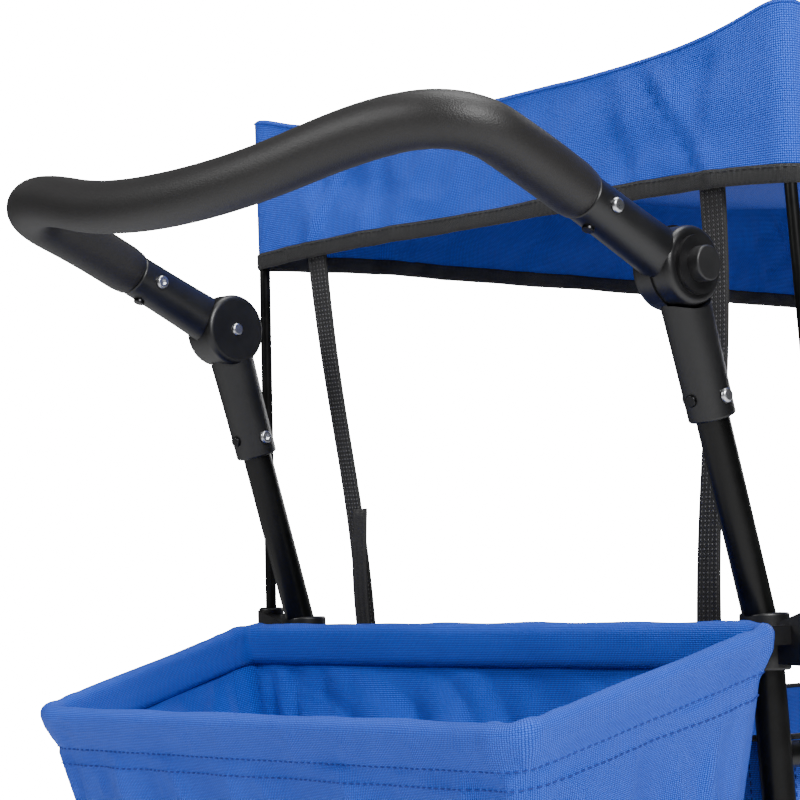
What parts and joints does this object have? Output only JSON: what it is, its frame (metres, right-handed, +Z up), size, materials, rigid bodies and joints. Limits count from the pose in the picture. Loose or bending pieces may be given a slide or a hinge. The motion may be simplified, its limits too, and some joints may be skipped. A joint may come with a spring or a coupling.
{
  "type": "kids pull wagon",
  "caption": "Folding pull wagon for children: fabric body on a steel frame, push handle on button hinges, pull handle, canopy and rear basket.",
  "frame": {"origin": "on the ground under the middle of the whole object's length and width", "axes": "+X forward to the pull handle, +Y to the wagon's left, +Z up"},
  "size_m": [1.2634, 0.666, 1.066],
  "materials": {
    "black_steel": "semi-gloss black powder coat",
    "black_plastic": "satin moulded black plastic",
    "zinc": "zinc plated",
    "foam": "matt charcoal foam rubber",
    "webbing": "ribbed polyester webbing",
    "blue_cloth": "woven 600D polyester, royal blue",
    "floor_cloth": "black woven cloth over a padded board",
    "wheel_grey": "satin dark grey moulded plastic",
    "tyre": "matt black foam rubber"
  },
  "bodies": {
    "rear_frame": {"rear_upright_left": "black_steel", "rear_upright_right": "black_steel", "rear_crossbars": "black_steel", "hinge_socket_left": "black_plastic", "hinge_socket_right": "black_plastic", "hinge_pins": "zinc", "socket_bolts": "zinc", "socket_screws": "black_steel", "canopy_pole_rear_left": "black_steel", "canopy_pole_rear_right": "black_steel", "pole_bracket_rear_left": "black_plastic", "pole_bracket_rear_right": "black_plastic", "canopy": "blue_cloth", "canopy_strap_rear_left": "webbing", "canopy_strap_rear_right": "webbing", "rear_panel": "blue_cloth", "side_panel_left": "blue_cloth", "side_panel_right": "blue_cloth", "basket": "blue_cloth", "basket_frame": "black_steel", "rear_wheel_bracket_left": "black_plastic", "rear_wheel_bracket_right": "black_plastic", "rear_axle": "zinc"},
    "push_handle": {"push_bar": "black_steel", "push_grip": "foam", "hinge_arm_left": "black_plastic", "hinge_arm_right": "black_plastic", "arm_bolts": "zinc", "arm_screws": "black_steel"},
    "hinge_button_left": {"hinge_button_left": "black_plastic"},
    "hinge_button_right": {"hinge_button_right": "black_plastic"},
    "rear_wheel_left": {"rear_rim_left": "wheel_grey", "rear_tyre_left": "tyre"},
    "rear_wheel_right": {"rear_rim_right": "wheel_grey", "rear_tyre_right": "tyre"},
    "brake_pedal_left": {"brake_pedal_left": "black_plastic"},
    "brake_pedal_right": {"brake_pedal_right": "black_plastic"},
    "floor_rear": {"floor_board_rear": "floor_cloth", "floor_frame_rear": "black_steel"},
    "floor_front": {"floor_board_front": "floor_cloth", "floor_frame_front": "black_steel"},
    "top_rails_rear": {"top_rails_rear": "black_steel"},
    "top_rails_front": {"top_rails_front": "black_steel"},
    "front_frame": {"front_upright_left": "black_steel", "front_upright_right": "black_steel", "front_crossbars": "black_steel", "pole_brackets_front": "black_plastic", "canopy_poles_front": "black_steel", "canopy_straps_front": "webbing", "front_panel": "blue_cloth", "caster_housings": "black_plastic"},
    "caster_left": {"caster_fork_left": "black_plastic"},
    "caster_right": {"caster_fork_right": "black_plastic"},
    "front_wheel_left": {"front_rim_left": "wheel_grey", "front_tyre_left": "tyre"},
    "front_wheel_right": {"front_rim_right": "wheel_grey", "front_tyre_right": "tyre"},
    "pull_handle": {"pull_tube": "black_steel"},
    "pull_slide": {"pull_slider": "black_steel", "pull_grip": "black_plastic"}
  },
  "joints": [
    {"name": "frame_fold", "type": "hinge", "parent": "rear_frame", "child": "floor_rear", "pos_m": [-0.1923, 0, 0.205], "axis": [0, -1, 0], "range_deg": [0, 75], "deforming": ["canopy", "side_panel_left", "side_panel_right"]},
    {"name": "floor_middle", "type": "hinge", "parent": "floor_rear", "child": "floor_front", "pos_m": [0.1577, 0, 0.205], "axis": [0, -1, 0], "range_deg": [-150, 0]},
    {"name": "front_fold", "type": "hinge", "parent": "floor_front", "child": "front_frame", "pos_m": [0.5077, 0, 0.205], "axis": [0, -1, 0], "range_deg": [0, 75]},
    {"name": "rail_fold", "type": "hinge", "parent": "rear_frame", "child": "top_rails_rear", "pos_m": [-0.1923, 0, 0.515], "axis": [0, 1, 0], "range_deg": [0, 75]},
    {"name": "rail_middle", "type": "hinge", "parent": "top_rails_rear", "child": "top_rails_front", "pos_m": [0.1577, 0, 0.515], "axis": [0, 1, 0], "range_deg": [-150, 0]},
    {"name": "push_handle_tilt", "type": "hinge", "parent": "rear_frame", "child": "push_handle", "pos_m": [-0.3553, 0, 0.87], "axis": [0, 1, 0], "range_deg": [-53, 65]},
    {"name": "button_press_left", "type": "slide", "parent": "push_handle", "child": "hinge_button_left", "axis": [0, -1, 0], "range_m": [0, 0.006], "stiffness_N_per_m": 250, "springref_m": -0.002},
    {"name": "button_press_right", "type": "slide", "parent": "push_handle", "child": "hinge_button_right", "axis": [0, 1, 0], "range_m": [0, 0.006], "stiffness_N_per_m": 250, "springref_m": -0.002},
    {"name": "rear_wheel_spin_left", "type": "hinge", "parent": "rear_frame", "child": "rear_wheel_left", "pos_m": [-0.23383, 0.306, 0.09], "axis": [0, 1, 0], "continuous": true},
    {"name": "brake_press_left", "type": "hinge", "parent": "rear_frame", "child": "brake_pedal_left", "pos_m": [-0.2663, 0.261, 0.118], "axis": [0, -1, 0], "range_deg": [0, 20]},
    {"name": "caster_swivel_left", "type": "hinge", "parent": "front_frame", "child": "caster_left", "pos_m": [0.5597, 0.261, 0.2], "axis": [0, 0, 1], "continuous": true},
    {"name": "front_wheel_spin_left", "type": "hinge", "parent": "caster_left", "child": "front_wheel_left", "pos_m": [0.5277, 0.261, 0.09], "axis": [0, 1, 0], "continuous": true},
    {"name": "rear_wheel_spin_right", "type": "hinge", "parent": "rear_frame", "child": "rear_wheel_right", "pos_m": [-0.23383, -0.306, 0.09], "axis": [0, 1, 0], "continuous": true},
    {"name": "brake_press_right", "type": "hinge", "parent": "rear_frame", "child": "brake_pedal_right", "pos_m": [-0.2663, -0.261, 0.118], "axis": [0, -1, 0], "range_deg": [0, 20]},
    {"name": "caster_swivel_right", "type": "hinge", "parent": "front_frame", "child": "caster_right", "pos_m": [0.5597, -0.261, 0.2], "axis": [0, 0, 1], "continuous": true},
    {"name": "front_wheel_spin_right", "type": "hinge", "parent": "caster_right", "child": "front_wheel_right", "pos_m": [0.5277, -0.261, 0.09], "axis": [0, 1, 0], "continuous": true},
    {"name": "pull_handle_tilt", "type": "hinge", "parent": "front_frame", "child": "pull_handle", "pos_m": [0.6197, 0, 0.245], "axis": [0, 1, 0], "range_deg": [0, 100]},
    {"name": "pull_handle_slide", "type": "slide", "parent": "pull_handle", "child": "pull_slide", "axis": [-0.0262, 0, 0.9997], "range_m": [0, 0.25]}
  ],
  "couplings": [
    {"joint": "floor_middle", "follows": "frame_fold", "ratio": -2},
    {"joint": "front_fold", "follows": "frame_fold", "ratio": 1},
    {"joint": "rail_fold", "follows": "frame_fold", "ratio": 1},
    {"joint": "rail_middle", "follows": "frame_fold", "ratio": -2}
  ]
}
